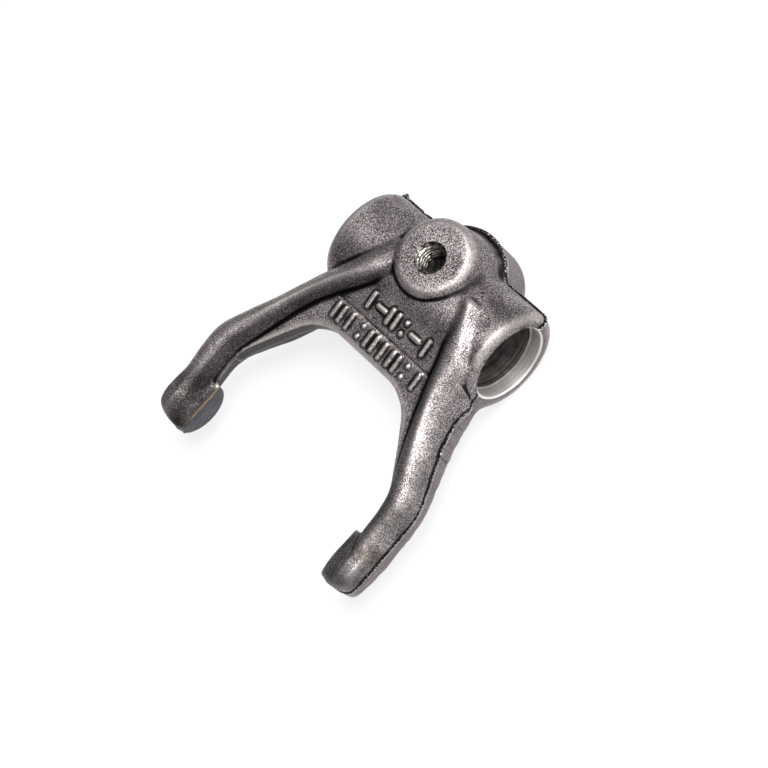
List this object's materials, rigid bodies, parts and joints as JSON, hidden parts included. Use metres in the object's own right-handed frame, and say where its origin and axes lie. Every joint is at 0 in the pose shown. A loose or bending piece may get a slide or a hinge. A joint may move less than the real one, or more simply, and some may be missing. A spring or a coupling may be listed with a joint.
{
  "type": "clutch fork",
  "caption": "Forged two-armed clutch release fork: a bored hub clamps on the release shaft and the arms push the release bearing.",
  "frame": {"origin": "middle of the shaft bore, on its axis", "axes": "+X along the shaft bore, -Y towards the arm tips, +Z out of the lock bolt boss"},
  "size_m": [0.0782, 0.0917, 0.0302],
  "materials": {
    "forged_steel": "shot-blasted closed-die forging, bored, tapped and ground where it fits other parts"
  },
  "bodies": {
    "root": {"clutch_fork": "forged_steel"}
  },
  "joints": []
}
